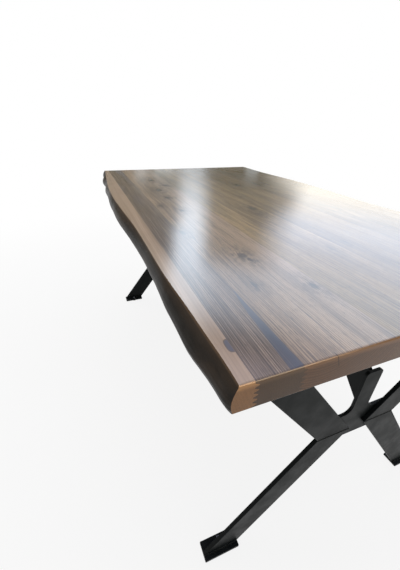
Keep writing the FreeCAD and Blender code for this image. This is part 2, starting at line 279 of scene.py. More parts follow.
def make_grain_group():
    """Growth rings about a pith that runs nearly along the board, and the fibres and pores between them."""
    inputs = {"Vector": None, "Part": 0.0, "Pith Y": 0.0, "Pith Z": 0.6, "Tilt": 0.02, "Ring": 0.004,
              "Wander": 0.01}
    tree, given, out = new_group("grain", inputs, ("Rings", "Band", "Zone", "Fibre", "Pores", "Smoke"))
    place = given["Vector"]
    x, y, z = axes_of(tree, place)

    drift_y = noise(tree, place, roughness=0.45, stretch=(1.6, 5, 5))
    drift_z = noise(tree, place, roughness=0.45, stretch=(2.2, 6, 6), shift=(7, 3, 1))
    off_y = minus(tree, minus(tree, y, given["Part"]), given["Pith Y"])
    off_y = plus(tree, off_y, centred(tree, drift_y, given["Wander"]))
    off_z = minus(tree, z, given["Pith Z"])
    off_z = plus(tree, off_z, times(tree, x, given["Tilt"]))
    off_z = plus(tree, off_z, centred(tree, drift_z, given["Wander"]))
    squares = plus(tree, times(tree, off_y, off_y), times(tree, off_z, off_z))
    radius = calc(tree, "SQRT", squares)

    across = add(tree, "ShaderNodeCombineXYZ", {0: x, 1: radius, 2: given["Pith Y"]}).outputs[0]
    uneven = centred(tree, noise(tree, across, stretch=(3, 60, 1)), 3.0)
    saw = calc(tree, "FRACT", plus(tree, calc(tree, "DIVIDE", radius, given["Ring"]), uneven))
    join(tree, out, {
        "Rings": times(tree, ramp(tree, saw, 0.40, 0.90), ramp(tree, saw, 1.0, 0.93)),
        "Band": noise(tree, across, stretch=(1.1, 75, 1), shift=(0, 5, 0)),
        "Zone": noise(tree, across, stretch=(1.5, 16, 1), shift=(3, 9, 0))})

    # The radius hardly changes above a pith that lies straight below, so a share of y is added.
    spread = calc(tree, "MULTIPLY_ADD", y, FIBRE_SLANT, radius)
    fine = add(tree, "ShaderNodeCombineXYZ", {0: x, 1: spread, 2: times(tree, z, FIBRE_DEPTH)}).outputs[0]
    pores = noise(tree, fine, detail=1.0, roughness=0.4, stretch=(70, 1300, 1300))
    smoke = noise(tree, place, detail=4.0, roughness=0.6, stretch=(5, 14, 14), shift=(0, 0, 2))
    join(tree, out, {
        "Fibre": noise(tree, fine, detail=3.0, roughness=0.6, stretch=(9, 480, 480)),
        "Pores": ramp(tree, pores, 0.60, 0.70),
        "Smoke": ramp(tree, smoke, 0.50, 0.72)})


def make_finish_group():
    """A lacquered surface's slight unevenness, as a height and a roughness."""
    inputs = {"Vector": None, "Fibre": 0.5, "Pores": 0.0}
    tree, given, out = new_group("lacquer", inputs, ("Height", "Roughness"))
    orange_peel = times(tree, noise(tree, given["Vector"], 90.0), 0.5)
    height = plus(tree, times(tree, given["Fibre"], 0.5), orange_peel)
    smear = noise(tree, given["Vector"], 6.0, 3.0, 0.6, stretch=(0.6, 1.6, 1))
    join(tree, out, {
        "Height": minus(tree, height, times(tree, given["Pores"], 0.5)),
        "Roughness": ramp(tree, smear, 0.3, 0.7, 0.30, 0.40)})


def make_coat_group():
    """Powder coat: fine orange peel, dulled a little where dust settles."""
    tree, given, out = new_group("powder_coat", {"Vector": None}, ("Height", "Roughness", "Tone"))
    place = given["Vector"]
    join(tree, out, {
        "Height": noise(tree, place, 700.0),
        "Roughness": ramp(tree, noise(tree, place, 18.0, 4.0, 0.6), 0.3, 0.7, 0.40, 0.52),
        "Tone": ramp(tree, noise(tree, place, 7.0, 4.0, 0.6), 0.25, 0.75)})


# ---- how each board is cut ----
def knot(x, y, size, dark=1.0):
    """A knot by its distance from the near end and from the left arris, as shares of the width."""
    return {"X": HALF_LENGTH - x * TOP_WIDTH, "Y": across_top(y), "Size": size}, dark


# Each board is cut from the log in its own way. pith is where the log's middle lies across and above
# the board, tilt how far the board leans to it, ring the rings' pitch and wander how far they stray.
# rings, figure, brown and dark are how strongly the rings, the fibres, the brown bands and the smoky
# patches show. tint tones the planed faces and end the sawn ones, where end_rings and end_pith stand
# in for rings and pith.
BOARD_LOOKS = {
    "board_1_live_edge": {
        "pith": (-0.95, 0.55), "tilt": 0.008, "ring": 0.0042, "wander": 0.012,
        "rings": 0.22, "figure": 0.22, "brown": 0.16, "dark": 0.12,
        "tint": (1.15, 1.07, 1.10), "end": (1.05, 1.0, 0.95), "end_rings": 0.16,
        "knots": []},
    "board_2": {
        "pith": (-1.30, 0.60), "tilt": 0.016, "ring": 0.0031, "wander": 0.014,
        "rings": 1.3, "figure": 1.9, "brown": 0.86, "dark": 0.35,
        "tint": (0.80, 0.75, 0.80), "end": (0.31, 0.33, 0.38), "end_rings": 0.16,
        "knots": []},
    "board_3": {
        "pith": (-0.43, 0.600), "tilt": 0.018, "ring": 0.0021, "wander": 0.010,
        "rings": 1.0, "figure": 1.8, "brown": 0.38, "dark": 0.20,
        "tint": (1.15, 1.06, 1.03), "end": (0.53, 0.49, 0.50), "end_rings": 0.6,
        "end_pith": (-0.300, 0.830),
        "knots": [
            knot(0.221, 0.153, 0.0062), knot(0.335, 0.207, 0.007), knot(0.36, 0.200, 0.011, 0.9),
            knot(0.178, 0.268, 0.0085), knot(1.01, 0.187, 0.010), knot(0.885, 0.125, 0.009, 0.8),
            knot(0.80, 0.185, 0.008), knot(0.563, 0.111, 0.010), knot(0.52, 0.125, 0.008, 0.6),
            knot(1.17, 0.19, 0.015), knot(1.43, 0.21, 0.016), knot(1.27, 0.25, 0.015)]},
    "board_4": {
        "pith": (0.14, 0.66), "tilt": 0.012, "ring": 0.0034, "wander": 0.016,
        "rings": 1.1, "figure": 1.6, "brown": 0.62, "dark": 0.25,
        "tint": (1.08, 0.97, 0.70), "end": (0.56, 0.53, 0.52), "end_rings": 0.5,
        "knots": [knot(0.33, 0.455, 0.007, 0.7), knot(0.75, 0.455, 0.014), knot(0.67, 0.44, 0.016, 0.45)]},
    "board_5": {
        "pith": (-0.20, 0.64), "tilt": 0.014, "ring": 0.0034, "wander": 0.016,
        "rings": 1.3, "figure": 1.9, "brown": 0.60, "dark": 0.35,
        "tint": (0.80, 0.70, 0.46), "end": (0.58, 0.56, 0.54), "end_rings": 0.5,
        "knots": [knot(0.355, 0.53, 0.007, 0.6), knot(1.19, 0.62, 0.015), knot(0.95, 0.51, 0.007, 0.5)]},
    "board_6": {
        "pith": (0.245, 0.690), "tilt": 0.016, "ring": 0.0034, "wander": 0.014,
        "rings": 1.2, "figure": 1.9, "brown": 0.66, "dark": 0.5,
        "tint": (0.60, 0.54, 0.40), "end": (0.54, 0.53, 0.52), "end_rings": 0.5,
        "knots": [knot(0.9, 0.82, 0.012), knot(0.42, 0.78, 0.010, 0.6)]},
    "board_7_live_edge": {
        "pith": (0.95, 0.58), "tilt": 0.012, "ring": 0.0048, "wander": 0.014,
        "rings": 1.2, "figure": 1.7, "brown": 0.52, "dark": 0.4,
        "tint": (0.66, 0.62, 0.52), "end": (0.75, 0.75, 0.75), "end_rings": 0.5,
        "knots": [knot(1.12, 0.95, 0.012)]},
}

# ---- wood ----
BAND_WEIGHT = 1.8  # how strongly narrow bands turn the wood brown
ZONE_WEIGHT = 1.6  # and wide ones
BANDS_MEAN = (BAND_WEIGHT + ZONE_WEIGHT) / 2
FIBRE_PALE = 0.45  # how far fibres, rings and pores show at a strength of 1
FIBRE_DARK = 0.42
RING_DARK = 0.55
PORE_DARK = 0.38
KNOT_HALO = (1.15, 1.05, 0.85)  # a knot's tones, from the dark streaks' colour
KNOT_HEART = 0.45
HALO_FIBRE = (0.9, 0.4)  # how a halo deepens with the fibres, and its least
HEART_SHOWS = 0.85
CHECK_TONE = 0.3
FAR_SLATE = 2.4  # the faint slate of board 2's far part, from the slate colour
LACQUER_ROUGHNESS = 0.13
WOOD_SPECULAR = 0.12  # under the lacquer
BARK_SPECULAR = 0.05


def new_material(name):
    """A material with one Principled shader, and the coordinates to place its effects by."""
    material = bpy.data.materials.new(name)
    material.use_nodes = True
    tree = material.node_tree
    tree.nodes.clear()
    shader = add(tree, "ShaderNodeBsdfPrincipled")
    add(tree, "ShaderNodeOutputMaterial", {0: shader.outputs[0]})
    return material, tree, shader, add(tree, "ShaderNodeTexCoord").outputs


def wood_material(name, look, settings):
    """Walnut with its own rings, bands, knots and end grain, under satin lacquer."""
    material, tree, shader, coords = new_material("walnut_" + name)
    place = coords["Object"]
    facing, spot = axes_of(tree, coords["Normal"]), axes_of(tree, place)
    part, heart, halo = knot_masks(tree, place, look["knots"])
    grain = place_group(tree, "grain", {
        "Vector": place, "Part": part, "Pith Y": look["pith"][0], "Pith Z": look["pith"][1],
        "Tilt": look["tilt"], "Ring": look["ring"], "Wander": look["wander"]})
    pale, brown, dark = (
        toned(tone, *look["tint"]) for tone in (settings.pale, settings.brown, settings.dark))

    colour = planed_colour(tree, grain, look, pale, brown, dark)
    if name == "board_2":
        colour = slate_streaks(tree, spot, place, grain, colour, settings)
    if name == "board_1_live_edge":
        colour = slate_patch(tree, spot, place, colour, settings)
    if look["knots"]:
        smoky = times(tree, halo, calc(tree, "MULTIPLY_ADD", grain["Fibre"], *HALO_FIBRE))
        colour = blend(tree, smoky, colour, toned(dark, *KNOT_HALO))
        colour = blend(tree, times(tree, heart, HEART_SHOWS), colour, toned(dark, KNOT_HEART))
    endwise = calc(tree, "ABSOLUTE", facing[0])
    end_colour = end_grain_colour(tree, place, spot, grain, look, settings)
    colour = blend(tree, ramp(tree, endwise, 0.35, 0.75), colour, end_colour)
    if name == "board_3":
        colour = blend(tree, end_check(tree, spot), colour, toned(dark, CHECK_TONE))
    bark = 0.0
    if name in LIVE_EDGES:
        bark = ramp(tree, calc(tree, "ABSOLUTE", facing[1]), 0.22, 0.50)
        colour = blend(tree, bark, colour, bark_colour(tree, place, spot, settings))

    finish = place_group(tree, "lacquer", {"Vector": place, "Fibre": grain["Fibre"], "Pores": grain["Pores"]})
    bare = larger(tree, bark, ramp(tree, endwise, 0.93, 0.995, 0.0, 0.8))
    join(tree, shader.inputs, {
        "Base Color": colour,
        "Roughness": finish["Roughness"],
        "Normal": bump(tree, finish["Height"], strength=0.25, distance=0.0004),
        "Coat Weight": minus(tree, 1.0, bare),
        "Specular IOR Level": calc(tree, "MULTIPLY_ADD", bark, BARK_SPECULAR - WOOD_SPECULAR, WOOD_SPECULAR)})
    shader.inputs["Coat Roughness"].default_value = LACQUER_ROUGHNESS
    return material


def knot_masks(tree, place, knots):
    """How far the knots part the grain, and where their hearts and their halos are."""
    part, heart, halo = 0.0, 0.0, 0.0
    for shape, dark in knots:
        made = place_group(tree, "knot", {"Vector": place, **shape})
        part = plus(tree, part, made["Part"])
        heart = larger(tree, heart, times(tree, made["Heart"], dark))
        halo = larger(tree, halo, times(tree, made["Halo"], dark))
    return part, heart, halo


def planed_colour(tree, grain, look, pale, brown, dark):
    """The wood along the grain: brown bands, with fibres, rings, pores and smoky patches over them."""
    amount = calc(tree, "MULTIPLY_ADD", grain["Band"], BAND_WEIGHT, look["brown"] - BANDS_MEAN)
    amount = calc(tree, "MULTIPLY_ADD", grain["Zone"], ZONE_WEIGHT, amount, clamp=True)
    colour = blend(tree, amount, pale, brown)
    figure = look["figure"]
    colour = blend(tree, ramp(tree, grain["Fibre"], 0.52, 0.30, 0.0, FIBRE_PALE * figure), colour, pale)
    colour = blend(tree, ramp(tree, grain["Fibre"], 0.48, 0.72, 0.0, FIBRE_DARK * figure), colour, dark)
    strengths = {"Rings": RING_DARK * look["rings"], "Pores": PORE_DARK * figure, "Smoke": look["dark"]}
    for mask, strength in strengths.items():
        colour = blend(tree, times(tree, grain[mask], strength), colour, dark)
    return colour


WEDGE_START = 0.0798  # where the wedge's free edge meets the near end, as a share of the width
WEDGE_SLOPE = 0.033  # how fast it nears the glue line there
WEDGE_CURVE = 0.34  # its bend towards that line, by the square of the way in
WEDGE_WOBBLE = 0.004


def slate_streaks(tree, spot, place, grain, colour, settings):
    """Board 2's blue-grey: a faint tint in the far part, and a wedge that widens along the second glue
    line towards the near end."""
    zones = ramp(tree, grain["Zone"], 0.42, 0.62, 0.0, 0.4)
    far_tint = times(tree, zones, ramp(tree, spot[0], 0.1, -0.3))
    colour = blend(tree, far_tint, colour, toned(settings.slate, FAR_SLATE))

    inward = minus(tree, HALF_LENGTH, spot[0])
    slope = calc(tree, "MULTIPLY_ADD", inward, WEDGE_CURVE, WEDGE_SLOPE)
    edge = calc(tree, "MULTIPLY_ADD", inward, slope, across_top(WEDGE_START))
    wobble = centred(tree, noise(tree, place, stretch=(14, 60, 60)), WEDGE_WOBBLE)
    inside = ramp(tree, minus(tree, plus(tree, spot[1], wobble), edge), -0.0006, 0.0012)
    lines = noise(tree, place, stretch=(4, 420, 60))
    wedge = times(tree, inside, ramp(tree, lines, 0.3, 0.7, 0.85, 1.0))
    return blend(tree, wedge, colour, settings.slate)


CHECK_TOP_Y = -0.2823  # where the check meets the top
CHECK_LEAN = 0.36
CHECK_DEEP = 0.022
CHECK_FADE = 0.7  # the share of its depth where it begins to fade
CHECK_FROM_END = (0.010, 0.004)  # it fades in over this stretch before the end


def end_check(tree, spot):
    """A hairline drying check that runs down the near end face."""
    below = minus(tree, TOP_Z, spot[2])
    line = calc(tree, "MULTIPLY_ADD", below, CHECK_LEAN, CHECK_TOP_Y)
    off = calc(tree, "ABSOLUTE", minus(tree, spot[1], line))
    depth = ramp(tree, below, CHECK_DEEP, CHECK_DEEP * CHECK_FADE)
    mask = times(tree, ramp(tree, off, 0.0009, 0.0003), depth)
    inner, outer = (HALF_LENGTH - inset for inset in CHECK_FROM_END)
    return times(tree, mask, ramp(tree, spot[0], inner, outer, 0.0, 0.8))


PATCH_FROM_END = 0.061
PATCH_FROM_SEAM = 0.0065
PATCH_HALF = (0.0125, 0.0068)  # along the board and across it
PATCH_SQUARENESS = 2.6  # 2 is an ellipse, and more is squarer
PATCH_TONE = (1.9, 1.6, 1.35)  # from the slate colour


def slate_patch(tree, spot, place, colour, settings):
    """A small grey patch with a darker rim, cut through by the first glue line."""
    reach = centred(tree, noise(tree, place, 140.0), 0.5)
    middle = (HALF_LENGTH - PATCH_FROM_END, LEFT_SEAM - PATCH_FROM_SEAM)
    for axis in (0, 1):
        off = calc(tree, "DIVIDE", minus(tree, spot[axis], middle[axis]), PATCH_HALF[axis])
        off = calc(tree, "POWER", calc(tree, "ABSOLUTE", off), PATCH_SQUARENESS)
        reach = plus(tree, reach, off)
    colour = blend(tree, ramp(tree, reach, 1.25, 0.95, 0.0, 0.7), colour, settings.dark)
    return blend(tree, ramp(tree, reach, 0.95, 0.5), colour, toned(settings.slate, *PATCH_TONE))


END_RING = 0.0045  # the pitch and wander of an end's own rings
END_WANDER = 0.004
END_PORES = 0.45  # tones of the sawn wood's colour
END_DARK_RINGS = 0.40
END_PATCHES = 0.55
END_TOP_LIGHT = (2.0, 2.1, 2.1)  # painted light and highlight below the top's arris, where more light falls on the end's upper part
LIT_BELOW_TOP = (0.011, 0.002)


def end_grain_colour(tree, place, spot, grain, look, settings):
    """The sawn end: open pores between curved rings, with painted light that makes it lighter just below the
    top's arris.
    """
    rings = grain["Rings"]
    if "end_pith" in look:
        rings = place_group(tree, "grain", {
            "Vector": place, "Pith Y": look["end_pith"][0], "Pith Z": look["end_pith"][1],
            "Tilt": 0.0, "Ring": END_RING, "Wander": END_WANDER})["Rings"]
    base = toned(settings.end_grain, *look["end"])
    pores = noise(tree, place, 900.0, 2.0, 0.6)
    colour = blend(tree, ramp(tree, pores, 0.42, 0.70, 0.0, 0.5), base, toned(base, END_PORES))
    ringed = times(tree, rings, look["end_rings"])
    colour = blend(tree, ringed, colour, toned(base, END_DARK_RINGS))
    patches = noise(tree, place, 30.0, 3.0, 0.6)
    colour = blend(tree, ramp(tree, patches, 0.40, 0.75, 0.0, 0.4), colour, toned(base, END_PATCHES))
    # Painted light and highlight: the end is lightened towards its top, just below the arris.
    low, high = (TOP_Z - below for below in LIT_BELOW_TOP)
    return blend(tree, ramp(tree, spot[2], low, high, 0.0, 0.75), colour, toned(base, *END_TOP_LIGHT))


BARK_WORN = (1.9, 1.5, 1.2)  # tones of the bark side's colour
BARK_STREAKS = 0.6
BARK_ARRIS = (4.6, 3.3, 2.3)
WORN_BELOW_ARRIS = (0.014, 0.003)
ARRIS_BELOW_TOP = (0.0035, 0.0005)


def bark_colour(tree, place, spot, settings):
    """The live edge: near black, browner under its upper arris and in worn patches."""
    base = settings.bark_side
    worn = toned(base, *BARK_WORN)
    patches = noise(tree, place, detail=3.0, roughness=0.55, stretch=(7, 16, 26))
    colour = blend(tree, ramp(tree, patches, 0.45, 0.70, 0.0, 0.7), base, worn)
    streaks = noise(tree, place, detail=3.0, roughness=0.6, stretch=(40, 90, 160))
    colour = blend(tree, ramp(tree, streaks, 0.40, 0.70, 0.0, 0.45), colour, toned(base, BARK_STREAKS))
    below = minus(tree, TOP_Z, spot[2])
    colour = blend(tree, ramp(tree, below, *WORN_BELOW_ARRIS, 0.0, 0.55), colour, worn)
    return blend(tree, ramp(tree, below, *ARRIS_BELOW_TOP, 0.0, 0.8), colour, toned(base, *BARK_ARRIS))


# ---- steel and nylon ----
def steel_material(settings):
    """Black powder coat, a little uneven in tone."""
    material, tree, shader, coords = new_material("black_powder_coat")
    made = place_group(tree, "powder_coat", {"Vector": coords["Object"]})
    join(tree, shader.inputs, {
        "Base Color": blend(tree, made["Tone"], toned(settings.coat, 0.85), toned(settings.coat, 1.15)),
        "Roughness": made["Roughness"],
        "Normal": bump(tree, made["Height"], strength=0.12, distance=0.0002)})
    shader.inputs["Specular IOR Level"].default_value = 0.10
    return material


def metal_material(name, colour, roughness):
    """A plain fastener metal with fine turning marks."""
    material, tree, shader, coords = new_material(name)
    marks = noise(tree, coords["Object"], 900.0, 3.0, 0.6)
    join(tree, shader.inputs, {
        "Base Color": blend(tree, ramp(tree, marks, 0.3, 0.7), toned(colour, 0.85), colour),
        "Roughness": ramp(tree, marks, 0.3, 0.7, roughness, roughness + 0.12)})
    shader.inputs["Metallic"].default_value = 1.0
    return material


def glide_material():
    """Black moulded nylon with a fine grain."""
    material, tree, shader, coords = new_material("moulded_nylon")
    grainy = noise(tree, coords["Object"], 2500.0)
    join(tree, shader.inputs, {
        "Base Color": blend(tree, ramp(tree, grainy, 0.3, 0.7), srgb(26, 26, 27), srgb(36, 36, 37)),
        "Roughness": ramp(tree, grainy, 0.3, 0.7, 0.55, 0.65),
        "Normal": bump(tree, grainy, strength=0.3, distance=0.0001)})
    return material


# ---- ways to build meshes ----
def switch_to(mode):
    bpy.ops.object.mode_set(mode=mode)


def pick_only(piece):
    """Select one piece alone, in object mode."""
    if bpy.context.object and bpy.context.object.mode != "OBJECT":
        switch_to("OBJECT")
    bpy.ops.object.select_all(action="DESELECT")
    piece.select_set(True)
    bpy.context.view_layer.objects.active = piece


def pick_nothing_in(piece, kind):
    """Deselect a whole mesh, and set which kind of part is selected next."""
    pick_only(piece)
    switch_to("EDIT")
    bpy.ops.mesh.select_mode(type=kind)
    bpy.ops.mesh.select_all(action="DESELECT")
    switch_to("OBJECT")


def modify(piece, kind, **settings):
    """Give the active piece a modifier and apply it."""
    modifier = piece.modifiers.new(kind.lower(), kind)
    for name, value in settings.items():
        setattr(modifier, name, value)
    bpy.ops.object.modifier_apply(modifier=modifier.name)


def smooth_by_angle(piece, degrees):
    """Shade a piece smooth between its sharp corners, with its flat faces kept flat."""
    bpy.ops.object.shade_smooth_by_angle(angle=math.radians(degrees))
    modify(piece, "WEIGHTED_NORMAL", keep_sharp=True)


def cover(piece, material):
    """Give all of a piece one material."""
    piece.data.materials.clear()
    piece.data.materials.append(material)


MERGE_DISTANCE = 0.00001


def copy_of_node(node, name):
    """A copy of a CAD node with its triangles merged into one clean shell."""
    piece = bpy.data.objects.new(name, NODES[node].data.copy())
    bpy.context.scene.collection.objects.link(piece)
    pick_only(piece)
    switch_to("EDIT")
    bpy.ops.mesh.select_all(action="SELECT")
    bpy.ops.mesh.remove_doubles(threshold=MERGE_DISTANCE)
    bpy.ops.mesh.customdata_custom_splitnormals_clear()
    bpy.ops.mesh.select_all(action="DESELECT")
    switch_to("OBJECT")
    return piece


FLAT_WITHIN = 0.5  # degrees by which a flat face's triangles may differ
CORNER_FROM = 40  # degrees from which a corner is eased
STEEL_SMOOTH = 35  # degrees up to which it is shaded smooth


def rounded_copy(node, width, material):
    """A CAD node's shape with its hard corners eased."""
    piece = copy_of_node(node, node + "_finished")
    switch_to("EDIT")
    bpy.ops.mesh.select_all(action="SELECT")
    bpy.ops.mesh.dissolve_limited(angle_limit=math.radians(FLAT_WITHIN))
    switch_to("OBJECT")
    modify(piece, "BEVEL", width=width, segments=2, limit_method="ANGLE",
           angle_limit=math.radians(CORNER_FROM), use_clamp_overlap=True)
    smooth_by_angle(piece, STEEL_SMOOTH)
    cover(piece, material)
    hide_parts(node)
    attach(piece, BODY)


# ---- the top ----
class TABLE_OT_effects(bpy.types.Operator):
    """Make the shader groups that the finishes share"""
    bl_idname = "table.effects"
    bl_label = "Shared effects"

    def execute(self, context):
        make_knot_group()
        make_grain_group()
        make_finish_group()
        make_coat_group()
        return {"FINISHED"}


class TABLE_OT_boards(bpy.types.Operator):
    """Finish the five planed boards in walnut"""
    bl_idname = "table.boards"
    bl_label = "Planed boards"

    def execute(self, context):
        settings = context.scene.table_top
        for name, look in BOARD_LOOKS.items():
            if name not in LIVE_EDGES:
                cover(NODES[name], wood_material(name, look, settings))
        return {"FINISHED"}


class TABLE_OT_live_edges(bpy.types.Operator):
    """Carve and finish the two live edge boards"""
    bl_idname = "table.live_edges"
    bl_label = "Live edge boards"

    def execute(self, context):
        settings = context.scene.table_top
        for node, side in LIVE_EDGES.items():
            piece = copy_of_node(node, node + "_carved")
            carve_bark(piece, side, settings)
            cover(piece, wood_material(node, BOARD_LOOKS[node], settings))
            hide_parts(node)
            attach(piece, BODY)
        return {"FINISHED"}


BARK_FACING = 0.25  # a bark face's normal points outwards by more than this
BROAD_HOLLOW = 0.05  # the hollows' size; the small ones are also shallower
SMALL_HOLLOW = 0.014
SMALL_DEPTH = 0.4
WOOD_SMOOTH = 38  # degrees up to which a corner is shaded smooth


def carve_bark(piece, side, settings):
    """Divide the bark side finely, smooth its flats, hollow it and ease its upper arris."""
    mesh = piece.data
    pick_nothing_in(piece, "FACE")
    for face in mesh.polygons:
        face.select = face.normal.y * side > BARK_FACING and face.center.y * side > BARK_FROM
    switch_to("EDIT")
    bpy.ops.mesh.subdivide(number_cuts=4)
    bpy.ops.mesh.select_less()
    switch_to("OBJECT")
    inside = piece.vertex_groups.new(name="bark")
    inside.add([vertex.index for vertex in mesh.vertices if vertex.select], 1.0, "REPLACE")
    modify(piece, "SMOOTH", factor=0.5, iterations=3, vertex_group="bark")
    hollow(piece, BROAD_HOLLOW, settings.ripple)
    hollow(piece, SMALL_HOLLOW, settings.ripple * SMALL_DEPTH)
    select_arris(piece, side)
    switch_to("EDIT")
    bpy.ops.transform.edge_bevelweight(value=1.0)
    switch_to("OBJECT")
    modify(piece, "BEVEL", width=settings.arris, segments=3, limit_method="WEIGHT")
    flatten_top(piece)
    smooth_by_angle(piece, WOOD_SMOOTH)


def hollow(piece, size, depth):
    """Press soft hollows into the bark side, never outwards."""
    texture = bpy.data.textures.new("hollows", "CLOUDS")
    texture.noise_scale = size
    texture.noise_depth = 1
    modify(piece, "DISPLACE", texture=texture, texture_coords="LOCAL", strength=depth, mid_level=1.0,
           vertex_group="bark")


def select_arris(piece, side):
    """Select the edges where the planed top meets the bark side."""
    mesh = piece.data
    pick_nothing_in(piece, "EDGE")
    for edge in mesh.edges:
        ends = [mesh.vertices[index].co for index in edge.vertices]
        edge.select = all(TOP_Z - end.z < MERGE_DISTANCE and end.y * side > BARK_FROM for end in ends)


def flatten_top(piece):
    """Bring the few corners that the easing lifts by a hair back into the top's plane."""
    pick_nothing_in(piece, "VERT")
    for vertex in piece.data.vertices:
        vertex.select = vertex.co.z > TOP_Z
    switch_to("EDIT")
    bpy.ops.transform.resize(value=(1, 1, 0), center_override=(0, 0, TOP_Z))
    switch_to("OBJECT")


# ---- the trestles ----
class TABLE_OT_trestles(bpy.types.Operator):
    """Ease and coat the flat bars and plates of both trestles"""
    bl_idname = "table.trestles"
    bl_label = "Trestles"

    def execute(self, context):
        settings = context.scene.table_steel
        coat = steel_material(settings)
        for node in NODES:
            if any(word in node for word in STEEL_NAMES):
                rounded_copy(node, settings.bar_arris, coat)
        return {"FINISHED"}


ARM_CUT = 0.0964  # an arm's width where it is cut level
WELD_STEP = 1.05  # from one ripple of a bead to the next, in bead radii
WAIST_SINK = 0.55  # how far a bead sinks in where arm meets arm, in bead radii
GUSSET_BEAD = 0.8  # a gusset's bead, in radii of the others
GUSSET_CORNER = 0.010  # a gusset's beads stop this far from its corners
GUSSET_FROM = 0.060  # and start here, out from the middle
BRACE_CUT = 10.75  # a brace's level cut, in thicknesses of its bar


def weld_bead(start, end, radius):
    """A bead of overlapping ripples from one point to another."""
    run = Vector(end) - Vector(start)
    inset = run.normalized() * radius
    count = max(2, round((run.length - 2 * radius) / (radius * WELD_STEP)))
    bpy.ops.mesh.primitive_uv_sphere_add(
        segments=8, ring_count=6, radius=radius, location=Vector(start) + inset)
    bead = bpy.context.object
    bpy.ops.object.transform_apply(location=True, rotation=False, scale=False)
    modify(bead, "ARRAY", count=count, use_relative_offset=False, use_constant_offset=True,
           constant_offset_displace=(run - 2 * inset) / (count - 1))
    return bead


def weld_runs(end, radius):
    """Where one trestle's beads start and stop, and their radii."""
    runs = []
    for side in HANDS:
        runs += arm_runs(end, side, radius)
        runs += gusset_runs(end, side, radius * GUSSET_BEAD)
        runs += brace_runs(end, side, radius)
    return runs


def arm_runs(end, side, radius):
    """Arms to the top and foot plates, and the upper arm to the lower one on its outer face."""
    hand, outward = HANDS[side], ENDS[end]
    low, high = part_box(end + "_upper_arm_" + side)
    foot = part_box(end + "_lower_arm_" + side)[0].z
    outer, inner = max(abs(low.y), abs(high.y)), min(abs(low.y), abs(high.y))
    runs = []
    for z in (high.z, foot):
        for x in (low.x, high.x):
            runs.append(((x, hand * outer, z), (x, hand * (outer - ARM_CUT), z), radius))
    face = (high.x if outward > 0 else low.x) - outward * radius * WAIST_SINK
    runs.append(((face, hand * inner, low.z), (face, hand * (inner + ARM_CUT), low.z), radius))
    return runs


def gusset_runs(end, side, radius):
    """One half of the gusset's edges to the arms' inner faces."""
    hand = HANDS[side]
    arm_low, arm_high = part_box(end + "_upper_arm_" + side)
    low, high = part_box(end + "_waist_gusset")
    back = arm_low.x if ENDS[end] > 0 else arm_high.x
    edge, top_z = hand * high.y, 2 * arm_low.z - low.z
    runs = [((back, edge, low.z + GUSSET_CORNER), (back, edge, top_z - GUSSET_CORNER), radius)]
    for z in (low.z, top_z):
        runs.append(((back, hand * GUSSET_FROM, z), (back, edge - hand * GUSSET_CORNER, z), radius))
    return runs


def brace_runs(end, side, radius):
    """One cheek of the brace, to the gusset at its foot and to its tab at its head."""
    outward = ENDS[end]
    low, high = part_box(end + "_knee_brace")
    cheek = HANDS[side] * high.y
    foot, head = (high.x, low.x) if outward > 0 else (low.x, high.x)
    cut = (high.y - low.y) * BRACE_CUT
    return [
        ((foot, cheek, low.z), (foot, cheek, low.z + cut), radius),
        ((head, cheek, high.z), (head + outward * cut, cheek, high.z), radius)]


class TABLE_OT_welds(bpy.types.Operator):
    """Lay the weld beads of both trestles"""
    bl_idname = "table.welds"
    bl_label = "Weld beads"

    def execute(self, context):
        settings = context.scene.table_steel
        coat = bpy.data.materials["black_powder_coat"]
        for end in ENDS:
            beads = [weld_bead(*run) for run in weld_runs(end, settings.weld_radius)]
            bpy.ops.object.select_all(action="DESELECT")
            for bead in beads:
                bead.select_set(True)
            bpy.context.view_layer.objects.active = beads[0]
            bpy.ops.object.join()
            piece = beads[0]
            piece.name = end + "_weld_beads"
            bpy.ops.object.shade_smooth()
            cover(piece, coat)
            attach(piece, BODY)
        return {"FINISHED"}


SCREW_ARRIS = 0.5  # a screw's rounding, as a share of the bars'


class TABLE_OT_fasteners(bpy.types.Operator):
    """Finish the fixing screws and the glides"""
    bl_idname = "table.fasteners"
    bl_label = "Screws and glides"

    def execute(self, context):
        settings = context.scene.table_steel
        black = metal_material("black_oxide", srgb(52, 54, 57), 0.38)
        zinc = metal_material("zinc_plate", srgb(104, 106, 110), 0.42)
        nylon = glide_material()
        rounded_copy("top_fixing_screws", settings.bar_arris * SCREW_ARRIS, black)
        for node, piece in NODES.items():
            if "glide_pad" in node:
                cover(piece, nylon)
            elif "glide_stud" in node:
                cover(piece, zinc)
        return {"FINISHED"}


# ---- the stage ----
class TABLE_OT_stage(bpy.types.Operator):
    """Set up the pale floor, the soft light and the camera"""
    bl_idname = "table.stage"
    bl_label = "Stage"

    def execute(self, context):
        settings = context.scene.table_stage
        make_floor(settings)
        make_room(context.scene, settings)
        make_overhead(settings)
        make_camera(context.scene)
        return {"FINISHED"}


FLOOR_SIZE = 60.0
FLOOR_FADE = (0.9, 3.0)  # from the middle, over which the floor turns plain white
FLOOR_LIFT = 0.86  # how far the floor's shadows are lifted towards white


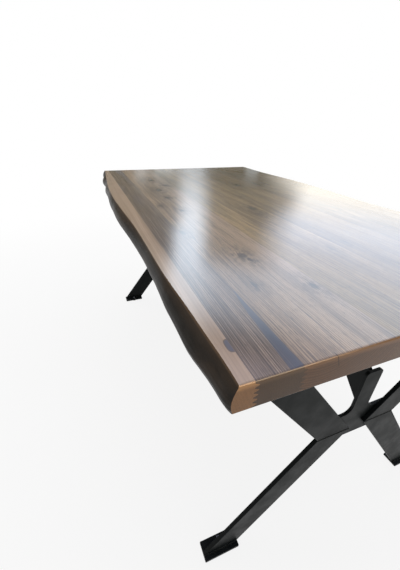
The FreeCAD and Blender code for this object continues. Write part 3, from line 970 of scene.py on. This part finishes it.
def make_floor(settings):
    """A pale floor that fades to white all round."""
    bpy.ops.object.select_all(action="DESELECT")
    bpy.ops.mesh.primitive_plane_add(size=FLOOR_SIZE, location=(0, 0, 0))
    floor = bpy.context.object
    floor.name = "studio_floor"
    material, tree, shader, coords = new_material("studio_floor")
    shader.inputs["Base Color"].default_value = (*settings.floor, 1)
    shader.inputs["Roughness"].default_value = 0.9
    shader.inputs["Specular IOR Level"].default_value = 0.1
    away = add(tree, "ShaderNodeVectorMath", {0: coords["Object"]}, operation="LENGTH").outputs["Value"]
    paths = add(tree, "ShaderNodeLightPath").outputs
    mirrored = larger(tree, paths["Is Glossy Ray"], paths["Is Transmission Ray"])
    seen = larger(tree, paths["Is Camera Ray"], mirrored)
    fade = times(tree, ramp(tree, away, *FLOOR_FADE, FLOOR_LIFT, 1.0), seen)
    white = add(tree, "ShaderNodeEmission")
    mixed = add(tree, "ShaderNodeMixShader", {0: fade, 1: shader.outputs[0], 2: white.outputs[0]})
    out = next(node for node in tree.nodes if node.type == "OUTPUT_MATERIAL")
    tree.links.new(mixed.outputs[0], out.inputs[0])
    cover(floor, material)


# What the lacquer mirrors: a dim room, a narrow window ahead, a wide one to the right, a pale band and
# a ceiling over both, and a lamp behind the near end. Turns are degrees round from straight past the
# far end towards the right, and heights are degrees up from level. A pair gives where a part begins to
# show and where it is whole. A span gives its two sides and the blur outside them.
ROOM_GLOW = (0.22, 0.20, 0.15)
LOW_WALL_GLOW = (0.12, 0.11, 0.07)
LOW_WALL_TURN = (9.0, 12.0)
LOW_WALL_HEIGHT = (14.0, 9.0)

DOORWAY_GLOW = (1.0, 1.1, 1.15)
DOORWAY_PARTS = (  # the span of each, its height, and how strongly it shows
    ((9.8, 10.8, 1.2), (10.2, 9.2), 0.5),
    ((11.0, 21.0, 2.0), (8.6, 7.6), 0.5),
    ((13.3, 15.8, 1.3), (8.5, 7.8), 1.0),
    ((30.4, 31.6, 1.0), (9.0, 8.2), 0.45),
)

RIGHT_TURN = (110.0, 80.0)  # the wide window and the band end here
WINDOW_GLOW = (2.2, 2.45, 2.95)
WINDOW_FOOT_GLOW = (2.3, 2.15, 1.85)
WINDOW_FOOT = (10.0, 18.0)
WINDOW_HEIGHT = (4.0, 9.0)
JAMB_TURN = (37.8, 42.2)
JAMB_SOFTER = (-6.0, -0.6)  # what is added to the jamb's pair where its edge is softest
SOFTER_ABOVE = (11.5, 18.5)
SOFTER_BELOW = (10.8, 9.6)

STRIP_GLOW = (4.3, 4.9, 5.6)
STRIP_LEFT = (15.9, 19.6)
STRIP_RIGHT = (24.6, 20.2)
STRIP_HEIGHT = (4.5, 28.5)
STRIP_LEAN = 1.5  # degrees by which its left side moves over the next pair
STRIP_LEAN_HEIGHT = (16.5, 20.0)

BAND_GLOW = (2.5, 2.9, 3.45)
BAND_PEAK_GLOW = (4.0, 4.6, 5.3)
BAND_PEAK_TURN = (27.0, 20.0)
BAND_TURN = (11.0, 18.0)
BAND_HEIGHT = (22.6, 28.4)

GAP_GLOW = (0.16, 0.22, 0.32)  # the dark gap between the band and the ceiling
GAP_CLOSES = (38.0, 50.0)
GAP_HEIGHT = (32.5, 42.0)
CEILING_GLOW = (1.15, 1.2, 1.55)
CEILING_LEFT_GLOW = (2.2, 2.1, 2.6)
CEILING_LEFT_TURN = (46.0, 36.0)
CEILING_HEIGHT = (40.5, 46.0)

LAMP_GLOW = (7.0, 6.0, 4.6)
LAMP_SPANS = ((138.0, 158.0, 8.0), (16.0, 34.0, 6.0))  # its turn and its height


def soft_band(tree, value, low, high, blur):
    """1 between low and high, falling to 0 over blur outside them."""
    return times(tree, ramp(tree, value, low - blur, low), ramp(tree, value, high + blur, high))


def far_wall(tree, turn, height):
    """The dim wall straight ahead, with the light shapes of a doorway low down on it."""
    low = times(tree, ramp(tree, height, *LOW_WALL_HEIGHT), ramp(tree, turn, *LOW_WALL_TURN))
    wall = blend(tree, low, ROOM_GLOW, LOW_WALL_GLOW)
    shapes = 0.0
    for span, top, strength in DOORWAY_PARTS:
        shape = times(tree, soft_band(tree, turn, *span), ramp(tree, height, *top, 0.0, strength))
        shapes = larger(tree, shapes, shape)
    return blend(tree, shapes, wall, DOORWAY_GLOW)


def wide_window(tree, turn, height, right, behind):
    """The window on the right, whose jamb is sharpest a little above its foot."""
    softer = larger(tree, ramp(tree, height, *SOFTER_ABOVE), ramp(tree, height, *SOFTER_BELOW))
    jamb = [calc(tree, "MULTIPLY_ADD", softer, more, at) for at, more in zip(JAMB_TURN, JAMB_SOFTER)]
    window = times(tree, ramp(tree, turn, *jamb), right)
    pane = blend(tree, ramp(tree, height, *WINDOW_FOOT), WINDOW_FOOT_GLOW, WINDOW_GLOW)
    return blend(tree, times(tree, window, ramp(tree, height, *WINDOW_HEIGHT)), behind, pane)


def strip_and_band(tree, turn, height, right, behind):
    """The narrow window ahead, and the pale band that it runs up into."""
    rising = plus(tree, turn, ramp(tree, height, *STRIP_LEAN_HEIGHT, 0.0, STRIP_LEAN))
    strip = times(tree, ramp(tree, rising, *STRIP_LEFT), ramp(tree, turn, *STRIP_RIGHT))
    strip = times(tree, strip, ramp(tree, height, *STRIP_HEIGHT))
    mirrored = blend(tree, strip, behind, STRIP_GLOW)
    band = times(tree, ramp(tree, turn, *BAND_TURN), right)
    band = times(tree, band, ramp(tree, height, *BAND_HEIGHT))
    glow = blend(tree, ramp(tree, turn, *BAND_PEAK_TURN), BAND_GLOW, BAND_PEAK_GLOW)
    return blend(tree, band, mirrored, glow)


def ceiling_and_lamp(tree, turn, height, behind):
    """The ceiling above a dark gap, and the lamp behind the near end."""
    gap = blend(tree, ramp(tree, turn, *GAP_CLOSES), GAP_GLOW, CEILING_GLOW)
    mirrored = blend(tree, ramp(tree, height, *GAP_HEIGHT), behind, gap)
    ceiling = blend(tree, ramp(tree, turn, *CEILING_LEFT_TURN), CEILING_GLOW, CEILING_LEFT_GLOW)
    mirrored = blend(tree, ramp(tree, height, *CEILING_HEIGHT), mirrored, ceiling)
    turn_span, height_span = LAMP_SPANS
    lamp = times(tree, soft_band(tree, turn, *turn_span), soft_band(tree, height, *height_span))
    return blend(tree, lamp, mirrored, LAMP_GLOW)


def make_room(scene, settings):
    """Light from all round: white to the camera, even on the table, and a room in the lacquer."""
    world = bpy.data.worlds.new("studio")
    world.use_nodes = True
    tree = world.node_tree
    tree.nodes.clear()
    x, y, z = axes_of(tree, add(tree, "ShaderNodeTexCoord").outputs["Generated"])
    degrees = 180 / math.pi
    turn = times(tree, calc(tree, "ARCTAN2", y, times(tree, x, -1.0)), degrees)
    height = times(tree, calc(tree, "ARCSINE", z), degrees)
    right = ramp(tree, turn, *RIGHT_TURN)
    mirrored = far_wall(tree, turn, height)
    mirrored = wide_window(tree, turn, height, right, mirrored)
    mirrored = strip_and_band(tree, turn, height, right, mirrored)
    mirrored = ceiling_and_lamp(tree, turn, height, mirrored)
    paths = add(tree, "ShaderNodeLightPath").outputs
    level = blend(tree, paths["Is Glossy Ray"], [settings.room] * 3, mirrored)
    seen = larger(tree, paths["Is Camera Ray"], paths["Is Transmission Ray"])
    level = blend(tree, seen, level, (1.0, 1.0, 1.0))
    background = add(tree, "ShaderNodeBackground", {"Color": level})
    add(tree, "ShaderNodeOutputWorld", {0: background.outputs[0]})
    scene.world = world


OVERHEAD_PLACE = (-0.5, 0.4, 3.0)
OVERHEAD_AIM = (0, 0, 0.7)
OVERHEAD_SIZE = 3.2


def make_overhead(settings):
    """A soft box above the table, which its surfaces don't mirror."""
    data = bpy.data.lights.new("overhead_box", "AREA")
    data.shape = "SQUARE"
    data.size = OVERHEAD_SIZE
    data.energy = settings.overhead
    lamp = bpy.data.objects.new("overhead_box", data)
    lamp.location = OVERHEAD_PLACE
    lamp.rotation_euler = (Vector(OVERHEAD_AIM) - Vector(OVERHEAD_PLACE)).to_track_quat("-Z", "Y").to_euler()
    lamp.visible_glossy = False
    lamp.visible_camera = False
    bpy.context.scene.collection.objects.link(lamp)


# Where the camera stands, and its right, down and forward directions.
CAMERA_PLACE = (0.93927, -0.53597, 1.00252)
CAMERA_RIGHT = (0.36092, 0.93226, 0.02506)
CAMERA_DOWN = (0.46997, -0.15860, -0.86832)
CAMERA_FORWARD = (-0.80553, 0.32517, -0.49537)
CAMERA_LENS = 18.118
SENSOR = 36.0


def make_camera(scene):
    """A camera above the near end's left corner, which looks down along the top."""
    data = bpy.data.cameras.new("camera")
    data.lens = CAMERA_LENS
    data.sensor_width = SENSOR
    data.clip_start = 0.01
    data.clip_end = 200.0
    camera = bpy.data.objects.new("camera", data)
    turn = Matrix((Vector(CAMERA_RIGHT), -Vector(CAMERA_DOWN), -Vector(CAMERA_FORWARD))).transposed()
    camera.matrix_world = Matrix.Translation(CAMERA_PLACE) @ turn.to_4x4()
    scene.collection.objects.link(camera)
    scene.camera = camera


# ---- the add-on ----
class TABLE_PT_panel(bpy.types.Panel):
    """The table's steps and settings"""
    bl_idname = "TABLE_PT_panel"
    bl_label = "Live edge table"
    bl_space_type = "VIEW_3D"
    bl_region_type = "UI"
    bl_category = "Table"

    def draw(self, context):
        for step in STEPS:
            self.layout.operator(step.bl_idname)
        for place, kind in GROUPS.items():
            for name in kind.__annotations__:
                self.layout.prop(getattr(context.scene, place), name)


GROUPS = {"table_top": TopSettings, "table_steel": SteelSettings, "table_stage": StageSettings}
STEPS = (
    TABLE_OT_effects,
    TABLE_OT_boards,
    TABLE_OT_live_edges,
    TABLE_OT_trestles,
    TABLE_OT_welds,
    TABLE_OT_fasteners,
    TABLE_OT_stage,
)


def register():
    for kind in (*GROUPS.values(), *STEPS, TABLE_PT_panel):
        bpy.utils.register_class(kind)
    for name, kind in GROUPS.items():
        setattr(bpy.types.Scene, name, PointerProperty(type=kind))


def unregister():
    for name in GROUPS:
        delattr(bpy.types.Scene, name)
    for kind in reversed((*GROUPS.values(), *STEPS, TABLE_PT_panel)):
        bpy.utils.unregister_class(kind)


def main():
    register()
    bpy.context.scene.view_settings.view_transform = "Standard"
    bpy.ops.object.select_all(action="DESELECT")
    bpy.ops.table.effects()
    bpy.ops.table.boards()
    bpy.ops.table.live_edges()
    bpy.ops.table.trestles()
    bpy.ops.table.welds()
    bpy.ops.table.fasteners()
    bpy.ops.table.stage()


if __name__ == "__main__":
    main()
